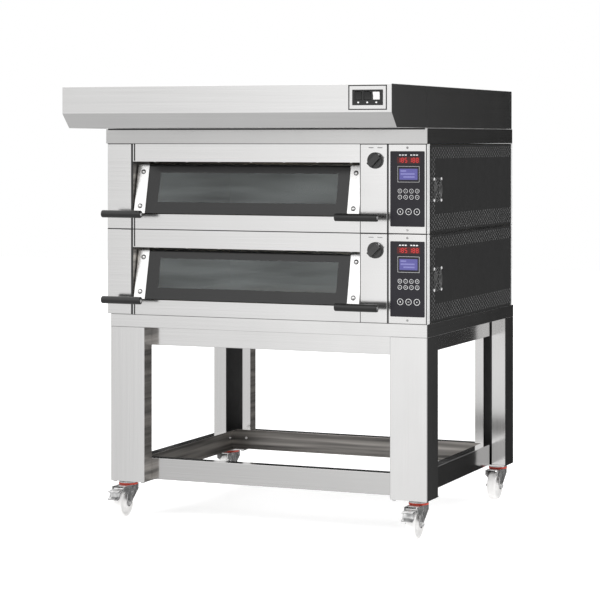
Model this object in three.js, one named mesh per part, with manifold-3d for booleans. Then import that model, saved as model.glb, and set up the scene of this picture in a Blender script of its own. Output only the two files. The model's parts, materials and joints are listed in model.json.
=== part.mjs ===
// Two-deck baking oven on a wheeled stand, with an extractor hood.
// Millimetres. +X is the oven's right as a person faces it, +Y runs to the back, +Z is up.
// The origin is on the floor, at the middle of the footprint. Inside this file Y = 0 is the
// front plane of the decks; the group moves everything back to the origin at the end.

import * as THREE from 'three';
import { mergeVertices } from 'three/addons/utils/BufferGeometryUtils.js';
import Module from 'manifold-3d';

const wasm = await Module();
wasm.setup();

// ---------------------------------------------------------------- driving dimensions

const sheet = 2; // folded stainless sheet
const gap = 0.5; // between pieces that touch on the real oven
const overlap = 1; // between the shapes that are joined into one solid

const halfWidth = 600; // deck body
const bodyDepth = 938;
const deckHeight = 301;

const castorHeight = 130;
const standTop = 717; // underside of the lower deck
const bandHeight = 45; // trim band around the top of the stand
const standFront = 12; // the stand stands back from the deck front
const standBack = 970;
const standHalfWidth = 594;

const collarHeight = 53;
const hoodHeight = 140;
const hoodOverhang = 331;
const hoodBack = 940;
const hoodHalfWidth = 597;

const deckBottoms = { lower: standTop, upper: standTop + deckHeight };
const collarBottom = standTop + 2 * deckHeight;
const hoodBottom = collarBottom + collarHeight;
const hoodTop = hoodBottom + hoodHeight;

// Mouth of a deck, measured from the deck's own bottom.
const mouth = { left: -499.5, right: 358.5, bottom: 54, top: 238, back: 80 };

// ---------------------------------------------------------------- solids

function toSolid(geometry) {
  const bare = geometry.clone();
  bare.deleteAttribute('normal');
  bare.deleteAttribute('uv');
  const merged = mergeVertices(bare, 1e-4);
  return new wasm.Manifold(new wasm.Mesh({
    numProp: 3,
    vertProperties: new Float32Array(merged.attributes.position.array),
    triVerts: new Uint32Array(merged.index.array),
  }));
}

function toGeometry(solid) {
  const mesh = solid.getMesh();
  const geometry = new THREE.BufferGeometry();
  geometry.setAttribute('position', new THREE.BufferAttribute(mesh.vertProperties, 3));
  geometry.setIndex(new THREE.BufferAttribute(mesh.triVerts, 1));
  geometry.computeVertexNormals();
  return geometry;
}

function join(first, ...others) {
  return others.reduce((whole, piece) => whole.add(piece), first);
}

function cut(whole, ...tools) {
  return tools.reduce((left, tool) => left.subtract(tool), whole);
}

// Limits grown a little, so that a cut passes right through.
function through([low, high]) {
  return [low - 1, high + 1];
}

// A block between two limits on each axis.
function block(x, y, z) {
  const geometry = new THREE.BoxGeometry(x[1] - x[0], y[1] - y[0], z[1] - z[0]);
  geometry.translate((x[0] + x[1]) / 2, (y[0] + y[1]) / 2, (z[0] + z[1]) / 2);
  return toSolid(geometry);
}

// A block with its walls thinned to the sheet, open on the sides that are named.
function shell(x, y, z, open) {
  const reach = (limits, low, high) => [
    open.includes(low) ? limits[0] - sheet : limits[0] + sheet,
    open.includes(high) ? limits[1] + sheet : limits[1] - sheet,
  ];
  const innerX = reach(x, 'left', 'right');
  const innerY = reach(y, 'front', 'back');
  const innerZ = reach(z, 'bottom', 'top');
  return cut(block(x, y, z), block(innerX, innerY, innerZ));
}

// A rectangular ring in plan: the outer limits less an inset on every side.
function planRing(x, y, z, inset) {
  const shrink = ([low, high]) => [low + inset, high - inset];
  return cut(block(x, y, z), block(shrink(x), shrink(y), through(z)));
}

// Low and high limit of two values given in either order.
function ordered(a, b) {
  return [Math.min(a, b), Math.max(a, b)];
}

// Limits about a middle.
function around(middle, half) {
  return [middle - half, middle + half];
}

// The axes of an extrusion: the outline's first and second axis, then the way it is extruded.
const extrusionAxes = {
  x: [new THREE.Vector3(0, 1, 0), new THREE.Vector3(0, 0, 1), new THREE.Vector3(1, 0, 0)],
  z: [new THREE.Vector3(1, 0, 0), new THREE.Vector3(0, 1, 0), new THREE.Vector3(0, 0, 1)],
};

// A flat outline carried along an axis: (y, z) points along x, or (x, y) points along z.
function prism(axis, outline, limits) {
  const shape = outline instanceof THREE.Shape
    ? outline
    : new THREE.Shape(outline.map(([u, v]) => new THREE.Vector2(u, v)));
  const geometry = new THREE.ExtrudeGeometry(shape, {
    depth: limits[1] - limits[0],
    bevelEnabled: false,
    curveSegments: 6,
  });
  geometry.translate(0, 0, limits[0]);
  geometry.applyMatrix4(new THREE.Matrix4().makeBasis(...extrusionAxes[axis]));
  return toSolid(geometry);
}

const rodTurn = {
  x: (geometry) => geometry.rotateZ(-Math.PI / 2),
  y: (geometry) => geometry,
  z: (geometry) => geometry.rotateX(Math.PI / 2),
};

// A round rod along an axis; the centre gives the two other coordinates, in x, y, z order.
function rod(axis, centre, radius, limits, sides = 16) {
  const geometry = new THREE.CylinderGeometry(radius, radius, limits[1] - limits[0], sides);
  rodTurn[axis](geometry);
  const middle = (limits[0] + limits[1]) / 2;
  const places = {
    x: [middle, ...centre],
    y: [centre[0], middle, centre[1]],
    z: [...centre, middle],
  };
  geometry.translate(...places[axis]);
  return toSolid(geometry);
}

// A solid of revolution about the x axis, from (distance along x, radius) points.
function turnedAboutX(profile, centre, segments) {
  const points = profile.map(([along, radius]) => new THREE.Vector2(radius, along));
  const geometry = new THREE.LatheGeometry(points, segments);
  geometry.rotateZ(-Math.PI / 2);
  geometry.translate(...centre);
  return toSolid(geometry);
}

// ---------------------------------------------------------------- finishes

const finish = (color, roughness, metalness) => ({ color, roughness, metalness });

const finishes = {
  stainless: finish(0xd6d6d4, 0.3, 0.9),
  darkSteel: finish(0x3a3b3c, 0.4, 0.6),
  blackPlastic: finish(0x18191a, 0.45, 0),
  whitePlastic: finish(0xf0f0ec, 0.4, 0),
  wheelNylon: finish(0xf2f2ee, 0.35, 0),
  chrome: finish(0xc8c9cc, 0.15, 1),
  glass: finish(0x3c4142, 0.05, 0),
  liner: finish(0xa9aaa6, 0.45, 0.8),
  stone: finish(0xcfc4ad, 0.9, 0),
  wool: finish(0xd9cf8e, 1, 0),
  heater: finish(0x5b5a57, 0.5, 0.6),
};

const oven = new THREE.Group();

function addPart(name, solid, finishName) {
  const mesh = new THREE.Mesh(toGeometry(solid), new THREE.MeshStandardMaterial(finishes[finishName]));
  mesh.name = name;
  oven.add(mesh);
}

// ---------------------------------------------------------------- stand

const legFaceWidth = 133;
const legInnerDepth = { front: 58.5, rear: 53.5 };
const legOuterDepth = { front: 110, rear: 102 };
const legInnerLip = 33;
const legOuterLip = 51;
const footPlate = { inset: 1, overhang: 8, thickness: 4 };
const castorInset = { x: 46, y: 46 }; // swivel centre from the stand's outer faces

const castorCentre = {
  x: standHalfWidth - castorInset.x,
  front: standFront + castorInset.y,
  rear: standBack - castorInset.y,
};

// One leg is a folded section on a foot plate: a face, an inner and an outer side, and a lip on each side.
// The frames are bolted to the inner lips and pass between the two lips.
function leg(side, end) {
  const sign = side === 'left' ? -1 : 1;
  const face = end === 'front' ? standFront : standBack;
  const inward = end === 'front' ? 1 : -1;
  const at = (fromOuter, fromFace) => [sign * (standHalfWidth - fromOuter), face + inward * fromFace];
  const inner = legInnerDepth[end];
  const outer = legOuterDepth[end];
  const outline = [
    at(legFaceWidth - legInnerLip, inner),
    at(legFaceWidth, inner),
    at(legFaceWidth, 0),
    at(0, 0),
    at(0, outer),
    at(legOuterLip, outer),
    at(legOuterLip, outer - sheet),
    at(sheet, outer - sheet),
    at(sheet, sheet),
    at(legFaceWidth - sheet, sheet),
    at(legFaceWidth - sheet, inner - sheet),
    at(legFaceWidth - legInnerLip, inner - sheet),
  ];
  const section = prism('z', outline, [castorHeight - overlap, standTop - bandHeight - gap]);
  const near = at(footPlate.inset, footPlate.inset);
  const far = at(legFaceWidth - footPlate.inset, outer + footPlate.overhang);
  const plate = block(
    ordered(near[0], far[0]),
    ordered(near[1], far[1]),
    [castorHeight - footPlate.thickness, castorHeight],
  );
  return join(section, plate);
}

const ringInset = { side: 56, front: 59, rear: 54 }; // of the channel frames, from the stand's outer faces
const ringX = around(0, standHalfWidth - ringInset.side);
const ringY = [standFront + ringInset.front, standBack - ringInset.rear];
const channelFlange = 40;

// A rectangular frame of channels that open inward.
function channelRing(z) {
  const web = planRing(ringX, ringY, z, sheet);
  const bottomFlange = planRing(ringX, ringY, [z[0], z[0] + sheet], channelFlange);
  const topFlange = planRing(ringX, ringY, [z[1] - sheet, z[1]], channelFlange);
  return join(web, bottomFlange, topFlange);
}

const upperRailHeight = 66;
const lowerRailHeight = 75;
const bandReturn = { lower: 110, upper: 60 };

// The channels under the trim band, with the band's own lower and upper returns.
function upperFrame() {
  const x = [-standHalfWidth, standHalfWidth];
  const y = [standFront, standBack];
  const z = [standTop - bandHeight, standTop - gap];
  const band = planRing(x, y, z, sheet);
  const lowerReturn = planRing(x, y, [z[0], z[0] + sheet], bandReturn.lower);
  const upperReturn = planRing(x, y, [z[1] - sheet, z[1]], bandReturn.upper);
  const rails = channelRing([z[0] - upperRailHeight, z[0] + sheet]);
  return join(band, lowerReturn, upperReturn, rails);
}

addPart('front_left_leg', leg('left', 'front'), 'stainless');
addPart('front_right_leg', leg('right', 'front'), 'stainless');
addPart('rear_left_leg', leg('left', 'rear'), 'stainless');
addPart('rear_right_leg', leg('right', 'rear'), 'stainless');
addPart('upper_frame', upperFrame(), 'stainless');
const lowerRailLimits = [castorHeight + gap, castorHeight + lowerRailHeight];
addPart('lower_frame', channelRing(lowerRailLimits), 'stainless');

// ---------------------------------------------------------------- castors

const wheelRadius = 50;
const wheelHalfWidth = 16;
const trail = 38; // the axle sits this far in front of the swivel
const axle = { radius: 6, clearance: 0.4, nut: 4 };
const fork = { inside: 21, outside: 24, front: 80, back: 34, boss: 13, crownFront: 60 };
const forkHeights = { nose: 94, throat: 81, heel: 90 };
const crown = { bottom: 108, top: 111 };
const raceway = { radius: 33, step: 8, lid: 4, top: castorHeight - footPlate.thickness - gap };
const pedalPivot = { forward: 72, height: 101, radius: 3 };
const pedalHalfWidth = 20;

// Side plate of the fork, as (y, z) points about a swivel centre: wide at the crown, round at the axle.
function forkSideOutline(swivelY) {
  const axleY = swivelY - trail;
  const outline = new THREE.Shape();
  outline.moveTo(swivelY - fork.front, crown.top);
  outline.lineTo(swivelY - fork.front, forkHeights.nose);
  outline.lineTo(axleY - fork.boss, forkHeights.throat);
  outline.absarc(axleY, wheelRadius, fork.boss, Math.PI, 2 * Math.PI * 0.93, false);
  outline.lineTo(swivelY + fork.back, forkHeights.heel);
  outline.lineTo(swivelY + fork.back, crown.top);
  return outline;
}

function castorFork(x, swivelY) {
  const outline = forkSideOutline(swivelY);
  const swivel = [x, swivelY];
  const leftPlate = prism('x', outline, [x - fork.outside, x - fork.inside]);
  const rightPlate = prism('x', outline, [x + fork.inside, x + fork.outside]);
  const crownPlate = block(
    around(x, fork.outside),
    [swivelY - fork.crownFront, swivelY + fork.back],
    [crown.bottom, crown.top],
  );
  const shoulder = raceway.top - raceway.lid;
  const bearing = rod('z', swivel, raceway.radius, [crown.top - overlap, shoulder], 20);
  const bearingTop = rod('z', swivel, raceway.radius - raceway.step, [shoulder - overlap, raceway.top], 20);
  const axlePlace = [swivelY - trail, wheelRadius];
  const axlePin = rod('x', axlePlace, axle.radius, around(x, fork.outside + axle.nut), 12);
  return join(leftPlate, rightPlate, crownPlate, bearing, bearingTop, axlePin);
}

// Half of the wheel's rounded section runs from the bore to the tread; the other half mirrors it.
function castorWheel(x, swivelY) {
  const bore = axle.radius + axle.clearance;
  const hub = { half: 19.5, radius: 14 };
  const web = { half: 11, inner: 18, outer: 36 };
  const half = [
    [hub.half, bore],
    [hub.half, hub.radius],
    [web.half, web.inner],
    [web.half, web.outer],
    [wheelHalfWidth, web.outer + 4],
    [wheelHalfWidth, wheelRadius - 6],
    [wheelHalfWidth - 7, wheelRadius],
  ];
  const mirrored = half.map(([along, radius]) => [-along, radius]);
  const profile = [...mirrored, ...half.reverse(), mirrored[0]];
  return turnedAboutX(profile, [x, swivelY - trail, wheelRadius], 24);
}

// The brake pedal has an upper tab to release and a lower tab to lock.
function brakePedal(x, swivelY) {
  const pivotY = swivelY - pedalPivot.forward;
  const at = (forward, down) => [pivotY - forward, pedalPivot.height - down];
  const root = [at(-3, 4), at(-3, -3)];
  const upperTab = [at(28, 0), at(45, 3), at(44, 6), at(31, 5)];
  const lowerTab = [at(33, 22), at(47, 29), at(45, 32.5), at(29, 27)];
  const outline = [...root, ...upperTab, ...lowerTab, at(27, 5)];
  const plate = prism('x', outline, around(x, pedalHalfWidth));
  const pivot = [pivotY, pedalPivot.height];
  const boss = rod('x', pivot, pedalPivot.radius + 2, around(x, pedalHalfWidth), 12);
  const pin = rod('x', pivot, pedalPivot.radius, around(x, fork.inside - gap), 12);
  return join(plate, boss, pin);
}

for (const [side, sign] of [['left', -1], ['right', 1]]) {
  for (const end of ['front', 'rear']) {
    const x = sign * castorCentre.x;
    const swivelY = castorCentre[end];
    addPart(`${end}_${side}_castor_fork`, castorFork(x, swivelY), 'chrome');
    addPart(`${end}_${side}_castor_wheel`, castorWheel(x, swivelY), 'wheelNylon');
  }
  addPart(`front_${side}_brake_pedal`, brakePedal(sign * castorCentre.x, castorCentre.front), 'chrome');
}

// ---------------------------------------------------------------- deck panels

const seam = { left: -503.5, strip: -493.5, right: 359.5, control: 459 }; // vertical joints of the deck front
const panelDepth = 12;
const reveal = 1; // the fronts stop this far short of the deck's top and bottom

// Height limits of a deck's front panels.
function panelHeight(bottom) {
  return [bottom + reveal, bottom + deckHeight - reveal];
}

// A front panel is a sheet with its four edges folded back.
function frontPanel(x, bottom) {
  return shell(x, [0, panelDepth], panelHeight(bottom), ['back']);
}

const damperKnob = { x: 415, height: 245, radius: 27.5, length: 26, shaftRadius: 4 };

function rightFrontPanel(bottom) {
  const panel = frontPanel([seam.right + gap, seam.control - sheet], bottom);
  const shaftPlace = [damperKnob.x, bottom + damperKnob.height];
  const shaftHole = rod('y', shaftPlace, damperKnob.shaftRadius + 2, through([0, panelDepth]));
  return cut(panel, shaftHole);
}

// The bands above and below the mouth, and its lining; a groove splits off a narrow strip at the left.
function mouthFrame(bottom, hinge) {
  const opening = { x: [mouth.left, mouth.right], z: [bottom + mouth.bottom, bottom + mouth.top] };
  const grow = ([low, high]) => [low - sheet, high + sheet];
  const x = [seam.left + gap, mouth.right + sheet / 2];
  const z = panelHeight(bottom);
  const face = block(x, [0, sheet], z);
  const lining = block([mouth.left - sheet, x[1]], [0, mouth.back], grow(opening.z));
  const topReturn = block(x, [0, panelDepth], [z[1] - sheet, z[1]]);
  const bottomReturn = block(x, [0, panelDepth], [z[0], z[0] + sheet]);
  const hollow = block(opening.x, through([0, mouth.back]), opening.z);
  const grooveX = around(seam.strip, 0.8);
  const grooves = [
    block(grooveX, [-1, sheet + gap], [z[0] + sheet, opening.z[0] - sheet - gap]),
    block(grooveX, [-1, sheet + gap], [opening.z[1] + sheet + gap, z[1] - sheet]),
  ];
  const holeX = around((mouth.left + mouth.right) / 2, mouth.right - mouth.left);
  const hingeHoles = rod('x', [hinge.y, hinge.z], hingePinRadius + 0.4, holeX);
  return cut(join(face, lining, topReturn, bottomReturn), hollow, ...grooves, hingeHoles);
}

const coverFront = 24;
const coverBack = bodyDepth - 20;

// Base, top, left side and back of a deck in one wrap, with the two posts that the right cover screws to.
function casing(bottom) {
  const z = [bottom + gap, bottom + deckHeight - gap];
  const front = panelDepth + 2;
  const postX = [halfWidth - gap - sheet, halfWidth - gap];
  const body = shell([-halfWidth, postX[1]], [front, bodyDepth], z, ['front', 'right']);
  const frontPost = block(postX, [gap, coverFront - gap], z);
  const rearPost = block(postX, [coverBack + gap, bodyDepth], z);
  return join(body, frontPost, rearPost);
}

const coverFold = 14;
const coverReveal = 3.5;

// The cover over the controls' side, folded in along all four edges.
function rightSideCover(bottom) {
  const x = [halfWidth - coverFold, halfWidth + 1];
  const z = [bottom + coverReveal, bottom + deckHeight - coverReveal];
  return shell(x, [coverFront, coverBack], z, ['left']);
}

// ---------------------------------------------------------------- baking chamber

const chamber = { left: -477, right: 343, front: 82.5, back: 762, bottom: 30, top: 248 };
const flangeMargin = 10;

// Inside of the chamber, grown by a margin.
function chamberBlock(bottom, margin, front, back) {
  return block(
    [chamber.left - margin, chamber.right + margin],
    [front, back],
    [bottom + chamber.bottom - margin, bottom + chamber.top + margin],
  );
}

const stoneLedge = { width: 18, top: 48 };
const stone = { thickness: 17.5, sideGap: 4, endGap: 6 };

function bakingChamber(bottom) {
  const liner = chamberBlock(bottom, sheet, chamber.front, chamber.back + sheet);
  const flange = block(
    [mouth.left - sheet, mouth.right + sheet],
    [mouth.back + gap, chamber.front + overlap],
    [bottom + chamber.bottom - flangeMargin, bottom + chamber.top + flangeMargin],
  );
  const inside = chamberBlock(bottom, 0, mouth.back, chamber.back);
  const ledgeZ = [bottom + stoneLedge.top - sheet, bottom + stoneLedge.top];
  const ledgeY = [chamber.front + flangeMargin, chamber.back + overlap];
  const leftLedge = block([chamber.left - overlap, chamber.left + stoneLedge.width], ledgeY, ledgeZ);
  const rightLedge = block([chamber.right - stoneLedge.width, chamber.right + overlap], ledgeY, ledgeZ);
  return join(cut(join(liner, flange), inside), leftLedge, rightLedge);
}

const wool = {
  left: 6 - halfWidth,
  right: seam.control - 7,
  front: chamber.front + 3.5,
  back: bodyDepth - 40,
};
const woolMargin = 5; // under the casing's top and over its base

// The wool fills the deck round the liner, short of the controls' compartment at the right.
function insulation(bottom) {
  const z = [bottom + woolMargin, bottom + deckHeight - woolMargin];
  const jacket = block([wool.left, wool.right], [wool.front, wool.back], z);
  return cut(jacket, chamberBlock(bottom, sheet + gap, 0, chamber.back + sheet + gap));
}

function bakingStone(bottom) {
  const underside = bottom + stoneLedge.top + gap;
  return block(
    [chamber.left + stone.sideGap, chamber.right - stone.sideGap],
    [chamber.front + stone.endGap, chamber.back - stone.endGap],
    [underside, underside + stone.thickness],
  );
}

const element = { rodRadius: 4.25, rods: 6, sideGap: 24, endGap: 50, rodEnd: 8 };
const elementStrip = { halfWidth: 1.5, halfHeight: 7, end: 12 };

// Sheathed heating rods across the chamber, held by a strip at each end.
function heatingElement(height) {
  const stripX = [chamber.left + element.sideGap, chamber.right - element.sideGap];
  const rodY = [chamber.front + element.endGap, chamber.back - element.endGap];
  const pitch = (rodY[1] - rodY[0]) / (element.rods - 1);
  const stripY = [rodY[0] - elementStrip.end, rodY[1] + elementStrip.end];
  const stripZ = around(height, elementStrip.halfHeight);
  const strips = stripX.map((x) => block(around(x, elementStrip.halfWidth), stripY, stripZ));
  const rodX = [stripX[0] - element.rodEnd, stripX[1] + element.rodEnd];
  const rods = Array.from({ length: element.rods }, (_, i) => (
    rod('x', [rodY[0] + i * pitch, height], element.rodRadius, rodX, 6)
  ));
  return join(...strips, ...rods);
}

// ---------------------------------------------------------------- door

const doorTilt = THREE.MathUtils.degToRad(13);
const doorFoot = { y: 0, height: 56 }; // outer face of the glass at its lower edge
const doorLength = 175;
const glassThickness = 5;
const armWidth = 44;
const armSheet = 3;
const armFace = [gap, gap + armSheet]; // how far the arms' faces stand out of the glass
const hingeBar = { along: 161, behind: 11.8, radius: 5, ear: 9 };
const hingePinRadius = 3.6;
const doorX = [mouth.left + 4, mouth.right - 2];

// A (y, z) point of the closed door, by its distance up the door and its distance out of the glass.
function doorPoint(bottom, along, out) {
  return [
    doorFoot.y + along * Math.sin(doorTilt) - out * Math.cos(doorTilt),
    bottom + doorFoot.height + along * Math.cos(doorTilt) + out * Math.sin(doorTilt),
  ];
}

function doorSlab(bottom, x, along, out) {
  const outline = [
    doorPoint(bottom, along[0], out[0]),
    doorPoint(bottom, along[0], out[1]),
    doorPoint(bottom, along[1], out[1]),
    doorPoint(bottom, along[1], out[0]),
  ];
  return prism('x', outline, x);
}

function hingeAxis(bottom) {
  const [y, z] = doorPoint(bottom, hingeBar.along, -hingeBar.behind);
  return { y, z };
}

// The hinge bar with an angle arm at each end; the arms hold the glass.
function doorFrame(bottom) {
  const { y, z } = hingeAxis(bottom);
  const ends = [
    { arm: [doorX[0], doorX[0] + armWidth], side: [doorX[0], doorX[0] + armSheet] },
    { arm: [doorX[1] - armWidth, doorX[1]], side: [doorX[1] - armSheet, doorX[1]] },
  ];
  const earReach = [-hingeBar.behind - 6, armFace[0] + overlap];
  const arms = ends.map(({ arm, side }) => join(
    doorSlab(bottom, arm, [0, doorLength], armFace),
    doorSlab(bottom, side, [0, doorLength], [-glassThickness, armFace[1]]),
    doorSlab(bottom, side, around(hingeBar.along, hingeBar.ear), earReach),
  ));
  const bar = rod('x', [y, z], hingeBar.radius, doorX);
  const pins = rod('x', [y, z], hingePinRadius, [mouth.left - sheet, mouth.right + sheet / 2]);
  return join(...arms, bar, pins);
}

function doorGlass(bottom) {
  const x = [doorX[0] + armSheet + gap, doorX[1] - armSheet - gap];
  return doorSlab(bottom, x, [1, doorLength], [-glassThickness, 0]);
}

const handle = { radius: 13, length: 153, outward: 36.5, y: -66, height: 55 };
const handlePost = { halfWidth: 7, halfHeight: 5, root: [1, 8] };

// A round grip carried by a short post that slopes out of the arm's lower end.
function doorHandle(bottom, sign) {
  const armMiddle = sign < 0 ? doorX[0] + armWidth / 2 : doorX[1] - armWidth / 2;
  const middle = armMiddle + sign * handle.outward;
  const gripZ = bottom + handle.height;
  const grip = rod('x', [handle.y, gripZ], handle.radius, around(middle, handle.length / 2), 20);
  const outsideArm = armFace[1] + gap;
  const post = prism('x', [
    doorPoint(bottom, handlePost.root[0], outsideArm),
    doorPoint(bottom, handlePost.root[1], outsideArm),
    [handle.y, gripZ + handlePost.halfHeight],
    [handle.y, gripZ - handlePost.halfHeight],
  ], around(armMiddle, handlePost.halfWidth));
  return join(grip, post);
}

// ---------------------------------------------------------------- controls and cooling fan

const knobBody = { length: 6, inset: 2 };
const knobGrip = { width: 20, depth: 13, inset: 4.5, turn: Math.PI / 4 };
const damperShaft = [-2, 58]; // limits of the shaft along y

// A skirt, a narrower body and a raised grip bar, on the shaft that turns the steam damper.
function knob(bottom) {
  const { x, height, radius, length, shaftRadius } = damperKnob;
  const centre = [x, bottom + height];
  const bodyFront = knobGrip.depth - length;
  const skirtFront = bodyFront + knobBody.length;
  const skirt = rod('y', centre, radius, [skirtFront, -1], 24);
  const body = rod('y', centre, radius - knobBody.inset, [bodyFront, skirtFront], 24);
  const gripLength = 2 * (radius - knobGrip.inset);
  const gripBar = new THREE.BoxGeometry(knobGrip.width, knobGrip.depth + overlap, gripLength);
  gripBar.rotateY(knobGrip.turn);
  gripBar.translate(x, -length + (knobGrip.depth + overlap) / 2, bottom + height);
  const shaft = rod('y', centre, shaftRadius, damperShaft, 12);
  return join(skirt, body, toSolid(gripBar), shaft);
}

const fan = { y: 98, height: 147, size: 80, thickness: 25, right: halfWidth - 3 };
const fanHubRadius = 15;
const fanStrut = { half: 2, depth: 3 };
const fanBlade = { thickness: 1.6, width: 16, length: 23, pitch: THREE.MathUtils.degToRad(50) };
const fanBlades = 7;

// Square fan body with its motor seat on four struts at the inner side.
function fanFrame(bottom) {
  const half = fan.size / 2;
  const z = bottom + fan.height;
  const x = [fan.right - fan.thickness, fan.right];
  const body = block(x, around(fan.y, half), around(z, half));
  const duct = rod('x', [fan.y, z], half - 2.5, through(x), 24);
  const strutX = [x[0], x[0] + fanStrut.depth];
  const seat = rod('x', [fan.y, z], fanHubRadius, strutX, 14);
  const upright = block(strutX, around(fan.y, fanStrut.half), around(z, half - overlap));
  const level = block(strutX, around(fan.y, half - overlap), around(z, fanStrut.half));
  return join(cut(body, duct), seat, upright, level);
}

// A hub with blades set at an angle; the hub runs along x.
function fanRotor(bottom) {
  const z = bottom + fan.height;
  const x = [fan.right - fan.thickness + fanStrut.depth + 1, fan.right - 2];
  const hub = rod('x', [fan.y, z], fanHubRadius, x, 14);
  const blades = Array.from({ length: fanBlades }, (_, i) => {
    const blade = new THREE.BoxGeometry(fanBlade.thickness, fanBlade.width, fanBlade.length);
    blade.rotateZ(fanBlade.pitch);
    blade.translate(0, 0, fanHubRadius - 3.5 + fanBlade.length / 2);
    blade.rotateX((i * 2 * Math.PI) / fanBlades);
    blade.translate((x[0] + x[1]) / 2, fan.y, z);
    return toSolid(blade);
  });
  return join(hub, ...blades);
}

for (const [deck, bottom] of Object.entries(deckBottoms)) {
  const elementHeights = { lower: bottom + 38, upper: bottom + chamber.top - 14 };
  addPart(`${deck}_casing`, casing(bottom), 'stainless');
  addPart(`${deck}_right_side_cover`, rightSideCover(bottom), 'darkSteel');
  addPart(`${deck}_left_front_panel`, frontPanel([-halfWidth, seam.left - 1], bottom), 'stainless');
  addPart(`${deck}_mouth_frame`, mouthFrame(bottom, hingeAxis(bottom)), 'stainless');
  addPart(`${deck}_right_front_panel`, rightFrontPanel(bottom), 'stainless');
  addPart(`${deck}_control_panel`, frontPanel([seam.control + 2, halfWidth - 3], bottom), 'stainless');
  addPart(`${deck}_insulation`, insulation(bottom), 'wool');
  addPart(`${deck}_baking_chamber`, bakingChamber(bottom), 'liner');
  addPart(`${deck}_baking_stone`, bakingStone(bottom), 'stone');
  addPart(`${deck}_top_heating_element`, heatingElement(elementHeights.upper), 'heater');
  addPart(`${deck}_bottom_heating_element`, heatingElement(elementHeights.lower), 'heater');
  addPart(`${deck}_door_frame`, doorFrame(bottom), 'stainless');
  addPart(`${deck}_door_glass`, doorGlass(bottom), 'glass');
  addPart(`${deck}_door_left_handle`, doorHandle(bottom, -1), 'blackPlastic');
  addPart(`${deck}_door_right_handle`, doorHandle(bottom, 1), 'blackPlastic');
  addPart(`${deck}_damper_knob`, knob(bottom), 'blackPlastic');
  addPart(`${deck}_fan_frame`, fanFrame(bottom), 'blackPlastic');
  addPart(`${deck}_fan_rotor`, fanRotor(bottom), 'blackPlastic');
}

// ---------------------------------------------------------------- collar and hood

const collarLead = 8; // the collar stands this far in front of the decks

// The flat tray between the upper deck and the hood, open below.
function collar() {
  return shell(
    around(0, halfWidth + 2),
    [-collarLead, hoodBack - collarLead],
    [collarBottom + gap, hoodBottom - gap],
    ['bottom'],
  );
}

const hoodFront = -hoodOverhang;
const chamfer = { depth: 46, height: 48 };
const inletSlot = { count: 5, halfLength: 420, width: 14, pitch: 32, first: 100 };

// Front half of the hood: a hollow canopy with a sloped lower edge, open to the rear and slotted below.
function hoodCanopy() {
  const outlineAt = (inset) => [
    [hoodFront + inset, hoodTop - inset],
    [hoodFront + inset, hoodBottom + chamfer.height + inset * 0.4],
    [hoodFront + chamfer.depth + inset * 0.4, hoodBottom + inset],
    [inset > 0 ? 1 : -gap, hoodBottom + inset],
    [inset > 0 ? 1 : -gap, hoodTop - inset],
  ];
  const outer = prism('x', outlineAt(0), around(0, hoodHalfWidth));
  const hollow = prism('x', outlineAt(sheet), around(0, hoodHalfWidth - sheet));
  const slots = Array.from({ length: inletSlot.count }, (_, i) => {
    const y = hoodFront + inletSlot.first + i * inletSlot.pitch;
    const x = around(0, inletSlot.halfLength);
    return block(x, [y, y + inletSlot.width], through([hoodBottom, hoodBottom + sheet]));
  });
  const plateRoom = block(
    around(switchPanel.x, switchPanel.halfWidth - 4),
    through([hoodFront, hoodFront + sheet]),
    around(switchPanel.z, switchPanel.halfHeight - 3),
  );
  return cut(outer, hollow, ...slots, plateRoom);
}

const flue = { y: 640, radius: 75, wall: 2.5, rise: 14 };
const impeller = { bottom: hoodBottom + 34, height: 62, radius: 105, plate: 3 };
const impellerHub = { radius: 18, height: 36, bore: 6.4 };
const impellerTurn = THREE.MathUtils.degToRad(35);
const impellerBlade = { count: 10, length: 34, thickness: 2.5, inset: 20 };
const motor = { radius: 45, shaftRadius: 6, shaftLength: 64 };

// Rear half of the hood, over the decks: it holds the motor and the outlet ring.
function hoodPlenum() {
  const centre = [0, flue.y];
  const body = shell(around(0, hoodHalfWidth), [gap, hoodBack], [hoodBottom, hoodTop], ['front']);
  const ringZ = [hoodTop - overlap, hoodTop + flue.rise];
  const ring = rod('z', centre, flue.radius + flue.wall, ringZ, 32);
  const hole = rod('z', centre, flue.radius, through([hoodTop - sheet, ringZ[1]]), 32);
  const motorBody = rod('z', centre, motor.radius, [hoodBottom + overlap, impeller.bottom - 2]);
  const shaft = rod('z', centre, motor.shaftRadius, [hoodBottom + sheet, hoodBottom + motor.shaftLength]);
  return join(cut(join(body, ring), hole), motorBody, shaft);
}

// Extraction impeller: a back plate, a hub on the motor shaft and upright blades.
function hoodFanWheel() {
  const z = impeller.bottom;
  const centre = [0, flue.y];
  const { count, length, thickness, inset } = impellerBlade;
  const backPlate = rod('z', centre, impeller.radius, [z, z + impeller.plate], 24);
  const hub = rod('z', centre, impellerHub.radius, [z, z + impellerHub.height]);
  const blades = Array.from({ length: count }, (_, i) => {
    const blade = new THREE.BoxGeometry(length, thickness, impeller.height - overlap);
    blade.rotateZ(impellerTurn);
    blade.translate(impeller.radius - inset, 0, 0);
    blade.rotateZ((i * 2 * Math.PI) / count);
    blade.translate(0, flue.y, z + overlap + impeller.height / 2);
    return toSolid(blade);
  });
  const bore = rod('z', centre, impellerHub.bore, through([z, z + impeller.height]));
  return cut(join(backPlate, hub, ...blades), bore);
}

const switchPanel = { x: 515, z: hoodTop - 44, halfWidth: 52, halfHeight: 25, thickness: 3 };
const rocker = { width: 24, height: 28, pitch: 31, rise: 6, throw: THREE.MathUtils.degToRad(10) };

// Middle of a rocker, counted from the left.
function rockerPlace(index) {
  return { x: switchPanel.x + (index - 1) * rocker.pitch, z: switchPanel.z + rocker.rise };
}

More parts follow.
